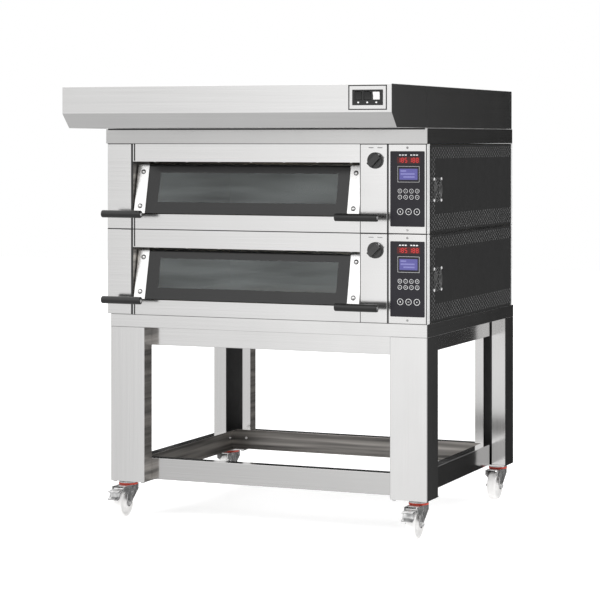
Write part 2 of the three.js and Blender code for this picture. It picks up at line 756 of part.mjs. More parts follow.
function switchPlate() {
  const y = [hoodFront - switchPanel.thickness, hoodFront - gap];
  const plateX = around(switchPanel.x, switchPanel.halfWidth);
  const plateZ = around(switchPanel.z, switchPanel.halfHeight);
  const windows = [0, 1, 2].map((index) => {
    const { x, z } = rockerPlace(index);
    return block(around(x, rocker.width / 2), through(y), around(z, rocker.height / 2));
  });
  return cut(block(plateX, y, plateZ), ...windows);
}

// A rocker in its off position: two flats that meet at the pivot, pressed in at the bottom.
function switchRocker(index) {
  const { x, z } = rockerPlace(index);
  const half = rocker.height / 2 - 1.2;
  const crest = 2.2;
  const proud = 4.5;
  const depth = 7;
  const outline = [[-proud, half], [-crest, 0], [-proud, -half], [depth, -half + 3], [depth, half - 3]];
  const turned = outline.map(([out, up]) => [
    hoodFront + out * Math.cos(rocker.throw) - up * Math.sin(rocker.throw),
    z + out * Math.sin(rocker.throw) + up * Math.cos(rocker.throw),
  ]);
  return prism('x', turned, around(x, rocker.width / 2 - gap));
}

addPart('top_collar', collar(), 'stainless');
addPart('hood_canopy', hoodCanopy(), 'stainless');
addPart('hood_plenum', hoodPlenum(), 'stainless');
addPart('hood_fan_wheel', hoodFanWheel(), 'liner');
addPart('hood_switch_plate', switchPlate(), 'blackPlastic');
addPart('hood_light_rocker', switchRocker(0), 'blackPlastic');
addPart('hood_fan_rocker', switchRocker(1), 'blackPlastic');
addPart('hood_power_rocker', switchRocker(2), 'whitePlastic');

// The origin goes to the middle of the footprint.
const extent = new THREE.Box3().setFromObject(oven);
oven.position.y = -(extent.min.y + extent.max.y) / 2;

export default oven;
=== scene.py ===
"""Looks of the two-deck oven. Metres, in the frame's own axes: +X right, +Y back, +Z up."""

import json
import math

import bmesh
import bpy
from mathutils import Matrix, Vector

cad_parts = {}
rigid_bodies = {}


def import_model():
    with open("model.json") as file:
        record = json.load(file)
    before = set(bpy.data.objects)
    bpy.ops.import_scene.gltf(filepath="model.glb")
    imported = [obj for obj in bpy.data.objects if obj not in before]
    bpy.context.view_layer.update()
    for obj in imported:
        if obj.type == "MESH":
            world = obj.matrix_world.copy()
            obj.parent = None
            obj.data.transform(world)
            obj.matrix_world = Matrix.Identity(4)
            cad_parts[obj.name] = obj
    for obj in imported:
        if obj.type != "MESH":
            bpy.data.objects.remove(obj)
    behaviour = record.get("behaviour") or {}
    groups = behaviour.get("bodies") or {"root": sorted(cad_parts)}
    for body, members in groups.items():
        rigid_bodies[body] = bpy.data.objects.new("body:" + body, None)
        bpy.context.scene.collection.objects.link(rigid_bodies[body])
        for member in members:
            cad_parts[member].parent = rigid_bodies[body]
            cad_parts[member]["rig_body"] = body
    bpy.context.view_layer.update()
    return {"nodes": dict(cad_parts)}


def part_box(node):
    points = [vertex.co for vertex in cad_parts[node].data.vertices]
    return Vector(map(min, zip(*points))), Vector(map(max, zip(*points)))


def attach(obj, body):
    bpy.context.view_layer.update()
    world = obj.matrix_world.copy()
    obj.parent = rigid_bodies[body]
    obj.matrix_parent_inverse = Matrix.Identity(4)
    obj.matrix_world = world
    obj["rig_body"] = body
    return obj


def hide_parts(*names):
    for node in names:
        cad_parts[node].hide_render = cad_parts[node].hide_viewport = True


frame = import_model()
nodes = frame["nodes"]

MM = 0.001
DECKS = ("lower", "upper")
ENDS = ("front", "rear")
SIDES = {"left": -1, "right": 1}

# Places every detail below is set out from, all read from the frame.
deck_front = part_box("lower_control_panel")[0].y
deck_bottom = {deck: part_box(f"{deck}_casing")[0].z for deck in DECKS}
hood_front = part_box("hood_canopy")[0].y


# ---------------------------------------- node trees


def wire(tree, socket, value):
    """Links an output to the socket, or sets the socket to a plain value."""
    if isinstance(value, bpy.types.NodeSocket):
        tree.links.new(value, socket)
    else:
        socket.default_value = value


def add_node(tree, kind, inputs=None, **settings):
    made = tree.nodes.new("ShaderNode" + kind)
    for key, value in settings.items():
        setattr(made, key, value)
    for key, value in (inputs or {}).items():
        wire(tree, made.inputs[key], value)
    return made


def new_material(name, **values):
    """A Principled material; each keyword is an input's name with _ for a space."""
    material = bpy.data.materials.new(name)
    material.use_nodes = True
    tree = material.node_tree
    tree.nodes.clear()
    output = add_node(tree, "OutputMaterial")
    surface = add_node(tree, "BsdfPrincipled")
    tree.links.new(surface.outputs["BSDF"], output.inputs["Surface"])
    for key, value in values.items():
        surface.inputs[key.replace("_", " ")].default_value = value
    return material, tree, surface


def noise(tree, scale, detail=3.0):
    """Noise fixed to the piece, with a scale for each axis in cycles per metre."""
    place = add_node(tree, "TexCoord").outputs["Object"]
    stretched = add_node(tree, "Mapping", {"Vector": place, "Scale": scale})
    made = add_node(
        tree,
        "TexNoise",
        {"Vector": stretched.outputs["Vector"], "Scale": 1.0, "Detail": detail},
    )
    return made.outputs["Fac"]


def remap(tree, value, low, high, span=(0.3, 0.7)):
    """Maps the span, which defaults to the usual range of a noise, to low ... high."""
    ends = {"From Min": span[0], "From Max": span[1], "To Min": low, "To Max": high}
    return add_node(tree, "MapRange", {"Value": value, **ends}).outputs["Result"]


def calculate(tree, operation, first, second):
    made = add_node(tree, "Math", operation=operation)
    wire(tree, made.inputs[0], first)
    wire(tree, made.inputs[1], second)
    return made.outputs["Value"]


def mix(tree, factor, first, second):
    made = add_node(tree, "Mix", data_type="RGBA")
    for index, value in ((0, factor), (6, first), (7, second)):
        wire(tree, made.inputs[index], value)
    return made.outputs[2]


def bump(tree, surface, height, depth):
    made = add_node(tree, "Bump", {"Height": height, "Distance": depth})
    tree.links.new(made.outputs["Normal"], surface.inputs["Normal"])


def grey(value, warmth=0.0):
    return (value + warmth, value, value - warmth, 1.0)


# ---------------------------------------- finishes


def brushed_steel(name, value, roughness, grain):
    """Brushed sheet: fine streaks along one axis, soft wipe marks, a slightly uneven polish."""
    material, tree, surface = new_material(name, Metallic=1.0)
    stretch = {"x": (2.0, 2.0, 600.0), "z": (600.0, 400.0, 2.0)}[grain]
    streaks = noise(tree, stretch, detail=2.0)
    wipes = noise(tree, (5.0, 5.0, 3.0), detail=4.0)
    tone = mix(tree, streaks, grey(value * 0.9, 0.005), grey(value * 1.06, 0.005))
    patina = remap(tree, wipes, 0.0, 0.15)
    color = mix(tree, patina, tone, grey(value * 0.85, 0.004))
    tree.links.new(color, surface.inputs["Base Color"])
    base = remap(tree, wipes, roughness - 0.02, roughness + 0.04)
    fine = remap(tree, streaks, -0.03, 0.03)
    tree.links.new(calculate(tree, "ADD", base, fine), surface.inputs["Roughness"])
    bump(tree, surface, streaks, 0.015 * MM)
    return material


def banded_steel(name, values):
    """Mill finish on the hidden sides of the folded stand: dull metal in uneven level bands."""
    material, tree, surface = new_material(name, Metallic=0.8)
    bands = noise(tree, (1.5, 1.5, 45.0), detail=3.0)
    tone = mix(tree, remap(tree, bands, 0.0, 1.0), grey(values[0], 0.004), grey(values[1], 0.03))
    tree.links.new(tone, surface.inputs["Base Color"])
    tree.links.new(remap(tree, bands, 0.45, 0.3), surface.inputs["Roughness"])
    bump(tree, surface, noise(tree, (2.0, 2.0, 500.0), detail=1.0), 0.02 * MM)
    return material


def coated(name, color, roughness, metallic=0.0, peel=900.0):
    """A coated or moulded surface: mottled gloss and a very fine skin."""
    material, tree, surface = new_material(name, Metallic=metallic)
    mottle = noise(tree, (9.0, 9.0, 9.0), detail=5.0)
    darker = tuple(0.8 * channel for channel in color[:3]) + (1.0,)
    shade = mix(tree, remap(tree, mottle, 0.0, 1.0), color, darker)
    tree.links.new(shade, surface.inputs["Base Color"])
    gloss = remap(tree, mottle, roughness - 0.05, roughness + 0.06)
    tree.links.new(gloss, surface.inputs["Roughness"])
    bump(tree, surface, noise(tree, (peel, peel, peel), detail=1.0), 0.03 * MM)
    return material


def chrome():
    """Plated pressings: bright, with small waves and dulled patches."""
    material, tree, surface = new_material("chrome", Metallic=0.72)
    waves = noise(tree, (60.0, 60.0, 60.0), detail=2.0)
    shade = mix(tree, remap(tree, waves, 0.0, 1.0), grey(0.32), grey(0.8))
    tree.links.new(shade, surface.inputs["Base Color"])
    tree.links.new(remap(tree, waves, 0.1, 0.28), surface.inputs["Roughness"])
    bump(tree, surface, waves, 0.15 * MM)
    return material


def clear_glass():
    """Tinted pane: straight-through glass with a coat of reflection, and a faint grey veil in patches that
    is partly dust and partly painted sheen.
    """
    material = bpy.data.materials.new("door_window")
    material.use_nodes = True
    tree = material.node_tree
    tree.nodes.clear()
    dust = noise(tree, (3.0, 3.0, 22.0), detail=6.0)
    through = add_node(tree, "BsdfTransparent", {"Color": (0.50, 0.54, 0.54, 1.0)})
    haze_and_painted_sheen = add_node(tree, "BsdfDiffuse", {"Color": (0.36, 0.39, 0.39, 1.0)})
    reflection = add_node(tree, "BsdfGlossy", {"Roughness": 0.03})
    veiled = add_node(tree, "MixShader")
    tree.links.new(remap(tree, dust, 0.05, 0.22), veiled.inputs[0])
    tree.links.new(through.outputs["BSDF"], veiled.inputs[1])
    tree.links.new(haze_and_painted_sheen.outputs["BSDF"], veiled.inputs[2])
    pane = add_node(tree, "MixShader")
    tree.links.new(add_node(tree, "Fresnel", {"IOR": 1.45}).outputs["Fac"], pane.inputs[0])
    tree.links.new(veiled.outputs["Shader"], pane.inputs[1])
    tree.links.new(reflection.outputs["BSDF"], pane.inputs[2])
    output = add_node(tree, "OutputMaterial")
    tree.links.new(pane.outputs["Shader"], output.inputs["Surface"])
    return material


def lit(name, color, strength):
    """Glowing display segments, uneven as they are in life."""
    material, tree, surface = new_material(name, Base_Color=grey(0.02), Roughness=0.3)
    flicker = noise(tree, (400.0, 400.0, 400.0), detail=1.0)
    surface.inputs["Emission Color"].default_value = color
    glow = remap(tree, flicker, strength * 0.8, strength * 1.1)
    tree.links.new(glow, surface.inputs["Emission Strength"])
    return material


# Steels: name, grey, roughness and the axis of the brushing. Coats: name, colour, roughness, metallic.
materials = {
    "steel": brushed_steel("brushed_steel", 0.86, 0.16, "x"),
    "leg_steel": brushed_steel("brushed_steel_upright", 0.86, 0.14, "z"),
    "bright_steel": brushed_steel("bright_steel", 0.84, 0.25, "z"),
    "satin": coated("satin_steel", grey(0.85), 0.4, 0.1),
    # Lighter ring round each hole of the cover: a painted glint on the punched edge.
    "painted_glint_rim": coated("punched_edge_painted_glint", grey(0.2), 0.4),
    "rail_steel": brushed_steel("brushed_rail_steel", 0.66, 0.12, "x"),
    # The hood's steel made darker on the collar: painted shade under the hood's overhang.
    "collar_steel_painted_shade": brushed_steel("brushed_collar_steel_painted_shade", 0.64, 0.16, "x"),
    "lip_steel": brushed_steel("brushed_lip_steel", 0.7, 0.16, "z"),
    # Mill finish: a real dull finish on the legs' inner sides; in the channels' hollows and on the mouth's
    # side walls its darker tone is painted shade.
    "mill_and_painted_shade": banded_steel("mill_finish_and_painted_shade", (0.1, 0.5)),
    # Near-black finish inside the legs' hollows: painted shade.
    "painted_shade_mill": coated("painted_shade_mill_finish", grey(0.13), 0.4, 0.3),
    # Near-black: real washers under the arm bolts; painted shade in the deck joints, in the gap under the
    # hood and on the mouth's ceiling.
    "seal_and_painted_shade": coated("joint_seal_and_painted_shade", grey(0.025), 0.6),
    "cover": coated("charcoal_cover", grey(0.034), 0.35, 0.15),
    "black": coated("black_plastic", grey(0.014), 0.3, peel=500.0),
    "knob": coated("knob_plastic", grey(0.045), 0.35, peel=500.0),
    "enamel": coated("black_enamel", grey(0.006), 0.12),
    "overlay": coated("control_overlay", (0.008, 0.007, 0.013, 1.0), 0.35),
    "white": coated("white_plastic", grey(0.82, 0.01), 0.35),
    "print": coated("printed_marks", grey(0.85), 0.5),
    "grey_print": coated("grey_printed_marks", grey(0.4), 0.5),
    "red_window": coated("red_display_window", (0.07, 0.004, 0.004, 1.0), 0.2),
    "nylon": coated("wheel_nylon", grey(0.95, 0.01), 0.4),
    "red": coated("red_dust_ring", (0.6, 0.045, 0.02, 1.0), 0.45),
    "chrome": chrome(),
    "guard": coated("fan_guard", grey(0.25), 0.3, 0.9),
    "liner": brushed_steel("chamber_steel", 0.5, 0.35, "x"),
    "stone": coated("baking_stone", (0.55, 0.48, 0.38, 1.0), 0.9, peel=250.0),
    "wool": coated("mineral_wool", (0.62, 0.55, 0.25, 1.0), 0.95, peel=300.0),
    "heater": coated("heater_sheath", grey(0.16, 0.01), 0.45, 0.8),
    "window": clear_glass(),
    "red_light": lit("red_digits", (0.8, 0.02, 0.02, 1.0), 1.0),
    "screen": lit("blue_screen", (0.13, 0.12, 0.45, 1.0), 0.8),
    "screen_text": lit("screen_rows", (0.3, 0.29, 0.7, 1.0), 0.8),
}


# ---------------------------------------- pieces


def add_object(name, data):
    made = bpy.data.objects.new(name, data)
    bpy.context.scene.collection.objects.link(made)
    return made


def add_piece(name, shape, body, finishes, replaced=(), sharp=35):
    """Turns a bmesh into a piece that rides on a body; edges over the sharp angle stay hard."""
    for face in shape.faces:
        face.smooth = True
    for edge in shape.edges:
        hard = len(edge.link_faces) != 2 or edge.calc_face_angle(math.pi) > math.radians(sharp)
        edge.smooth = not hard
    mesh = bpy.data.meshes.new(name)
    shape.to_mesh(mesh)
    shape.free()
    piece = add_object(name, mesh)
    for finish in finishes:
        mesh.materials.append(materials[finish])
    piece.modifiers.new("even_flats", "WEIGHTED_NORMAL").keep_sharp = True
    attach(piece, body)
    if replaced:
        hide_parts(*replaced)
    return piece


def add_box(shape, low, high):
    """Adds a block between two corners."""
    size = [b - a for a, b in zip(low, high)]
    middle = [(a + b) / 2 for a, b in zip(low, high)]
    place = Matrix.Translation(middle) @ Matrix.Diagonal((*size, 1.0))
    bmesh.ops.create_cube(shape, size=1.0, matrix=place)


AXIS_TURN = {
    "x": Matrix.Rotation(math.pi / 2, 4, "Y"),
    "-y": Matrix.Rotation(math.pi / 2, 4, "X"),
    "z": Matrix.Identity(4),
    "-z": Matrix.Rotation(math.pi, 4, "X"),
}


def add_turned(shape, profile, centre, axis, segments=32, material=0):
    """Adds a turned solid; the profile is (distance along the axis, radius), from end to end."""
    place = Matrix.Translation(centre) @ AXIS_TURN[axis]
    rings = []
    for along, radius in profile:
        if radius == 0:
            rings.append([shape.verts.new(place @ Vector((0, 0, along)))])
            continue
        turns = [2 * math.pi * i / segments for i in range(segments)]
        spots = [Vector((radius * math.cos(t), radius * math.sin(t), along)) for t in turns]
        rings.append([shape.verts.new(place @ spot) for spot in spots])
    for near, far in zip(rings, rings[1:]):
        for i in range(segments):
            j = (i + 1) % segments
            corners = [near[i % len(near)], near[j % len(near)], far[j % len(far)], far[i % len(far)]]
            distinct = list(dict.fromkeys(corners))
            if len(distinct) > 2:
                shape.faces.new(distinct).material_index = material


def add_slab(shape, centre, width, height, depth, corner, material=0):
    """Adds a plate with rounded corners that faces the front and stands out from the centre."""
    outline = []
    steps = 5
    for turn, (sx, sz) in enumerate(((1, 1), (-1, 1), (-1, -1), (1, -1))):
        for i in range(steps):
            angle = math.pi / 2 * (turn + i / (steps - 1))
            x = sx * (width / 2 - corner) + corner * math.cos(angle)
            z = sz * (height / 2 - corner) + corner * math.sin(angle)
            outline.append((centre[0] + x, centre[2] + z))
    back = [shape.verts.new((x, centre[1], z)) for x, z in outline]
    front = [shape.verts.new((x, centre[1] - depth, z)) for x, z in outline]
    faces = [shape.faces.new(front)]
    for i in range(len(outline)):
        j = (i + 1) % len(outline)
        faces.append(shape.faces.new((front[j], front[i], back[i], back[j])))
    for face in faces:
        face.material_index = material


def body_of(node_name):
    return nodes[node_name]["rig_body"]


def middle_of(node_name):
    low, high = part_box(node_name)
    return (low + high) / 2


def is_bend(edge, narrowest):
    """True for an outside corner between two flats that are both wider than a sheet's edge."""
    slightest = math.radians(25)
    if len(edge.link_faces) != 2 or not edge.is_convex:
        return False
    if edge.calc_face_angle(0.0) < slightest:
        return False
    widths = (2 * f.calc_area() / f.calc_perimeter() for f in edge.link_faces)
    return min(widths) > narrowest


def fold(node_name, radius, finish, narrowest=4 * MM, extra=(), choose=None):
    """Stands in for a CAD node with its outside corners rounded, as folded sheet has them.

    choose gives a face its place in the list of the finish and the extra finishes.
    """
    shape = bmesh.new()
    shape.from_mesh(nodes[node_name].data)
    bmesh.ops.remove_doubles(shape, verts=shape.verts, dist=0.001 * MM)
    flat = math.radians(1)
    bmesh.ops.dissolve_limit(shape, angle_limit=flat, verts=shape.verts, edges=shape.edges)
    bmesh.ops.connect_verts_concave(shape, faces=shape.faces)
    bends = [edge for edge in shape.edges if is_bend(edge, narrowest)]
    rounding = {"offset": radius, "segments": 3, "profile": 0.5, "clamp_overlap": True}
    bmesh.ops.bevel(shape, geom=bends, affect="EDGES", **rounding)
    for face in shape.faces:
        face.material_index = choose(face) if choose else 0
    name = f"{node_name}_formed"
    add_piece(name, shape, body_of(node_name), (finish, *extra), (node_name,))


# Outline of a screw's head: (distance along its axis, radius), both in radii of the head.
SCREW = [(0.0, 1.0), (0.25, 1.0), (0.5, 0.86), (0.62, 0.6), (0.62, 0.5), (0.3, 0.46), (0.3, 0.0)]


def add_screws(name, places, axis, radius, finish="chrome"):
    """Button-head screws with a socket, all of one group in one piece on the oven's body."""
    profile = [(along * radius, share * radius) for along, share in SCREW]
    shape = bmesh.new()
    for place in places:
        add_turned(shape, profile, place, axis, segments=20)
    add_piece(name, shape, "oven_body", (finish,), sharp=50)


# ---------------------------------------- CAD nodes shown as they are

PLAIN_FINISHES = {
    "baking_chamber": "liner",
    "baking_stone": "stone",
    "insulation": "wool",
    "top_heating_element": "heater",
    "bottom_heating_element": "heater",
    "fan_frame": "black",
    "fan_rotor": "black",
    "hood_fan_wheel": "liner",
}

for node_name, shown in nodes.items():
    for ending, finish in PLAIN_FINISHES.items():
        if node_name.endswith(ending):
            for slot in shown.material_slots:
                slot.material = materials[finish]


# ---------------------------------------- stand and castors


def leg(end, side):
    """A folded leg: bright outside, mill finish on its inner side and painted shade in its hollow, a
    near-black finish.
    """
    name = f"{end}_{side}_leg"
    low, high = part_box(name)
    sign = SIDES[side]
    inner_x = high.x if sign < 0 else low.x
    face_y = low.y if end == "front" else high.y
    wall = 3 * MM
    outside, inner_side, hollow, lip = range(4)

    def choose(face):
        centre = face.calc_center_median()
        if face.normal.x * sign < -0.9:
            return inner_side if abs(centre.x - inner_x) < MM else hollow
        if abs(face.normal.y) > 0.9 and face.normal.y * (face_y - centre.y) < 0:
            return hollow if abs(centre.y - face_y) < wall else lip
        return outside

    fold(name, 3 * MM, "leg_steel", extra=("mill_and_painted_shade", "painted_shade_mill", "lip_steel"), choose=choose)


def rail(name):
    """A channel frame: mill finish in the hollow of the channels, darker there as painted shade, brighter
    outside.
    """
    low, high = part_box("lower_frame")
    lower_outside, hollow, upper_outside = range(3)
    outside = upper_outside if name == "upper_frame" else lower_outside

    def choose(face):
        centre = face.calc_center_median()
        inside_x = low.x + MM < centre.x < high.x - MM
        inside_y = low.y + MM < centre.y < high.y - MM
        upright = abs(face.normal.z) < 0.1
        return hollow if upright and inside_x and inside_y else outside

    fold(name, 1.5 * MM, "rail_steel", extra=("mill_and_painted_shade", "steel"), choose=choose)


def stand_bolts():
    """Bolt heads inside the frames where they meet the rear legs, and under the foot plates."""
    ring_low, ring_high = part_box("lower_frame")
    lip_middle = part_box("rear_right_leg")[0].x + 16 * MM
    above_rail_foot = 33 * MM
    heights = ((ring_low.z + ring_high.z) / 2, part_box("upper_frame")[0].z + above_rail_foot)
    sheet = 2 * MM
    from_corner = 26 * MM
    at_rear = [(sign * lip_middle, ring_high.y - sheet, z) for sign in (-1, 1) for z in heights]
    add_screws("rear_frame_bolts", at_rear, "-y", 6 * MM, "bright_steel")
    at_side = [(ring_low.x + sheet, ring_high.y - from_corner, z) for z in heights]
    add_screws("side_frame_bolts", at_side, "x", 6 * MM, "bright_steel")
    inset = 12 * MM
    feet = []
    for end in ENDS:
        for side in SIDES:
            low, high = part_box(f"{end}_{side}_leg")
            xs = (low.x + inset, high.x - inset)
            ys = (low.y + inset, high.y - inset)
            feet += [(x, y, low.z) for x in xs for y in ys]
    add_screws("foot_plate_bolts", feet, "-z", 7 * MM, "bright_steel")


# Outlines of the castor's turned pieces: (distance along the axis, radius).
WHEEL = {"radius": 50 * MM, "tread": 16 * MM, "shoulder": 6 * MM}
WHEEL_HUB = [(0.0, 13 * MM), (2 * MM, 15 * MM)]
WHEEL_WEB = [(-12 * MM, 17 * MM), (-10 * MM, 20 * MM), (-10 * MM, 35 * MM), (-14 * MM, 38 * MM)]
DUST_RING = [(-8 * MM, 28 * MM), (-8 * MM, 32 * MM), (-9.5 * MM, 34 * MM), (-15 * MM, 33.5 * MM)]
DUST_RING += [(-15.5 * MM, 28 * MM)]
AXLE_NUT = [(-1 * MM, 8.5 * MM), (5 * MM, 8.5 * MM), (6.5 * MM, 7 * MM), (6.5 * MM, 5 * MM)]
AXLE_NUT += [(8.5 * MM, 4.5 * MM), (9 * MM, 3.5 * MM), (9 * MM, 0.0)]
AXLE_BORE = 6.4 * MM
SWIVEL_TRAIL = 38 * MM
FORK_CHEEK = 24 * MM


def wheel_profile(half):
    """From the bore out over one half of the hub and the tread, and back along the other."""
    profile = [(-half, AXLE_BORE)]
    profile += [(along - half, radius) for along, radius in WHEEL_HUB]
    profile += WHEEL_WEB
    radius, tread, shoulder = WHEEL.values()
    steps = 6
    for step in range(steps + 1):
        angle = math.pi / 2 * step / steps
        along = -tread + shoulder * (1 - math.cos(angle))
        profile.append((along, radius - shoulder * (1 - math.sin(angle))))
    mirrored = [(-along, radius) for along, radius in reversed(profile)]
    return profile + mirrored + profile[:1]


def castor(end, side):
    """Moulded wheel, pressed fork, red dust ring and axle nuts of one castor."""
    fork = f"{end}_{side}_castor_fork"
    wheel = f"{end}_{side}_castor_wheel"
    low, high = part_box(wheel)
    middle = (low + high) / 2
    fold(fork, 0.8 * MM, "chrome", narrowest=1.5 * MM)

    shape = bmesh.new()
    add_turned(shape, wheel_profile((high.x - low.x) / 2), middle, "x", segments=56)
    add_piece(f"{wheel}_moulded", shape, body_of(wheel), ("nylon",), (wheel,))

    shape = bmesh.new()
    swivel = Vector((middle.x, middle.y + SWIVEL_TRAIL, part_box(fork)[1].z))
    add_turned(shape, DUST_RING, swivel, "z", segments=40)
    add_piece(f"{end}_{side}_castor_dust_ring", shape, body_of(fork), ("red",))

    shape = bmesh.new()
    for sign in (1, -1):
        nut = [(sign * along, radius) for along, radius in AXLE_NUT]
        add_turned(shape, nut, (middle.x + sign * FORK_CHEEK, middle.y, middle.z), "x", segments=6)
    add_piece(f"{end}_{side}_castor_axle_nuts", shape, body_of(fork), ("chrome",))


rail("lower_frame")
rail("upper_frame")
stand_bolts()
for end in ENDS:
    for side in SIDES:
        leg(end, side)
        castor(end, side)
for side in SIDES:
    fold(f"front_{side}_brake_pedal", 0.8 * MM, "chrome", narrowest=1.5 * MM)


# ---------------------------------------- deck bodies

# The right cover's holes: their pitch along and up the sheet, their size and where they are.
PERFORATION = {"column": 26 * MM, "row": 7.75 * MM, "radius": 2.6 * MM, "painted_glint_rim": 1.1 * MM}
HOLE_BANDS = {"top": 48 * MM, "bottom": 62 * MM, "front": 46 * MM, "border": 4 * MM}
FAN_PATCH_RADIUS = 40 * MM
FAN_SCREW_PITCH = 71.5 * MM
# The mouth's opening, from the deck's foot.
MOUTH_BOTTOM = 50 * MM
MOUTH_TOP = 240 * MM


def casing(deck):
    """The casing, with a satin finish on its two right-hand posts."""
    cover_low, cover_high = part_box(f"{deck}_right_side_cover")
    plain, satin = range(2)

    def choose(face):
        centre = face.calc_center_median()
        at_post = centre.y < cover_low.y or centre.y > cover_high.y
        outward = face.normal.x > 0.9 and centre.x > 0
        return satin if at_post and outward else plain

    fold(f"{deck}_casing", 1.5 * MM, "steel", extra=("satin",), choose=choose)


def add_flat(shape, x, y, z):
    """One rectangle that faces right, between the limits on y and z."""
    spots = ((y[0], z[0]), (y[1], z[0]), (y[1], z[1]), (y[0], z[1]))
    shape.faces.new([shape.verts.new((x, *spot)) for spot in spots])


def add_holed_flat(shape, x, y, z):
    """The same rectangle with a punched hole in its middle, and a lighter ring round the hole that is a
    painted glint on the punched edge.
    """
    middle = ((y[0] + y[1]) / 2, (z[0] + z[1]) / 2)
    half = ((y[1] - y[0]) / 2, (z[1] - z[0]) / 2)
    hole = PERFORATION["radius"]
    rim = hole + PERFORATION["painted_glint_rim"]
    corners = 8
    loops = [[], [], []]
    for i in range(corners):
        c = math.cos(2 * math.pi / corners * i)
        s = math.sin(2 * math.pi / corners * i)
        reaches = [(hole * c, hole * s), (rim * c, rim * s), (half[0] * round(c), half[1] * round(s))]
        for loop, (across, up) in zip(loops, reaches):
            loop.append(shape.verts.new((x, middle[0] + across, middle[1] + up)))
    for material, (near, far) in enumerate(((loops[1], loops[2]), (loops[0], loops[1]))):
        for i in range(corners):
            j = (i + 1) % corners
            face = shape.faces.new([near[i], far[i], far[j], near[j]])
            face.material_index = material


def right_cover(deck):
    """Perforated cover: bands of holes above and below, a column in front, a patch at the fan."""
    node_name = f"{deck}_right_side_cover"
    low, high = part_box(node_name)
    fan = middle_of(f"{deck}_fan_frame")
    column = PERFORATION["column"]
    row = PERFORATION["row"]
    border = HOLE_BANDS["border"]
    turned_in = 12 * MM

    def holed(y, z):
        in_bands = z > high.z - HOLE_BANDS["top"] or z < low.z + HOLE_BANDS["bottom"]
        at_fan = math.hypot(y - fan.y, z - fan.z) < FAN_PATCH_RADIUS
        return in_bands or at_fan or y < low.y + HOLE_BANDS["front"]

    shape = bmesh.new()
    rows = int((high.z - low.z - 2 * border) / row)
    first = (low.z + high.z - rows * row) / 2
    add_flat(shape, high.x, (low.y, high.y), (low.z, first))
    add_flat(shape, high.x, (low.y, high.y), (first + rows * row, high.z))
    for i in range(rows):
        z = (first + i * row, first + (i + 1) * row)
        y = low.y + border + (i % 2) * column / 2
        plain_from = low.y
        while y + column < high.y - border:
            if holed(y + column / 2, (z[0] + z[1]) / 2):
                if y > plain_from:
                    add_flat(shape, high.x, (plain_from, y), z)
                add_holed_flat(shape, high.x, (y, y + column), z)
                plain_from = y + column
            y += column
        add_flat(shape, high.x, (plain_from, high.y), z)
    inward = high.x - turned_in
    rim = [(low.y, low.z), (low.y, high.z), (high.y, high.z), (high.y, low.z)]
    for (y0, z0), (y1, z1) in zip(rim, rim[1:] + rim[:1]):
        spots = ((high.x, y0, z0), (inward, y0, z0), (inward, y1, z1), (high.x, y1, z1))
        shape.faces.new([shape.verts.new(spot) for spot in reversed(spots)])
    bmesh.ops.remove_doubles(shape, verts=shape.verts, dist=0.01 * MM)
    finishes = ("cover", "painted_glint_rim")
    piece = add_piece(f"{node_name}_pierced", shape, body_of(node_name), finishes, (node_name,))
    sheet = piece.modifiers.new("sheet", "SOLIDIFY")
    sheet.thickness = 1.5 * MM
    sheet.offset = -1


def cover_screws(deck):
    """Two screws in each post beside the cover, and four round the fan."""
    low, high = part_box(f"{deck}_right_side_cover")
    casing_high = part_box(f"{deck}_casing")[1]
    fan = middle_of(f"{deck}_fan_frame")
    inset = 12 * MM
    heights = (low.z + inset, high.z - inset)
    posts = ((deck_front + low.y) / 2, (high.y + casing_high.y) / 2)
    spots = [(casing_high.x, y, z) for y in posts for z in heights]
    add_screws(f"{deck}_post_screws", spots, "x", 4.5 * MM, "satin")
    half = FAN_SCREW_PITCH / 2
    spots = [(high.x, fan.y + sy * half, fan.z + sz * half) for sy in (-1, 1) for sz in (-1, 1)]
    add_screws(f"{deck}_fan_screws", spots, "x", 5 * MM, "satin")


def fan_guard(deck):
    """Finger guard over the fan: three rings of wire on four slanted spokes."""
    cover_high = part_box(f"{deck}_right_side_cover")[1]
    fan = middle_of(f"{deck}_fan_frame")
    wire = 1 * MM
    centre = Vector((cover_high.x + 2 * wire, fan.y, fan.z))
    rings = (16 * MM, 27 * MM, 38 * MM)
    spoke_end = 47 * MM
    shape = bmesh.new()
    for radius in rings:
        add_ring(shape, centre, radius, wire)
    for turn in range(4):
        angle = math.pi / 4 + math.pi / 2 * turn
        along = Vector((0, math.cos(angle), math.sin(angle)))
        add_wire(shape, centre + along * rings[0], centre + along * spoke_end, wire)
    add_piece(f"{deck}_fan_guard", shape, "oven_body", ("guard",))


def add_wire(shape, start, end, radius):
    """A straight round wire between two points."""
    run = end - start
    turn = Vector((0, 0, 1)).rotation_difference(run).to_matrix().to_4x4()
    place = Matrix.Translation((start + end) / 2) @ turn
    size = {"radius1": radius, "radius2": radius, "depth": run.length}
    bmesh.ops.create_cone(shape, cap_ends=True, segments=8, matrix=place, **size)


def add_ring(shape, centre, ring_radius, wire_radius):
    """A ring of round wire that faces right."""
    steps = 40
    sides = 8
    loops = []
    for i in range(steps):
        around = 2 * math.pi * i / steps
        loop = []
        for j in range(sides):
            section = 2 * math.pi * j / sides
            reach = ring_radius + wire_radius * math.cos(section)
            spot = (wire_radius * math.sin(section), reach * math.cos(around), reach * math.sin(around))
            loop.append(shape.verts.new(centre + Vector(spot)))
        loops.append(loop)
    for near, far in zip(loops, loops[1:] + loops[:1]):
        for j in range(sides):
            k = (j + 1) % sides
            shape.faces.new((near[j], near[k], far[k], far[j]))


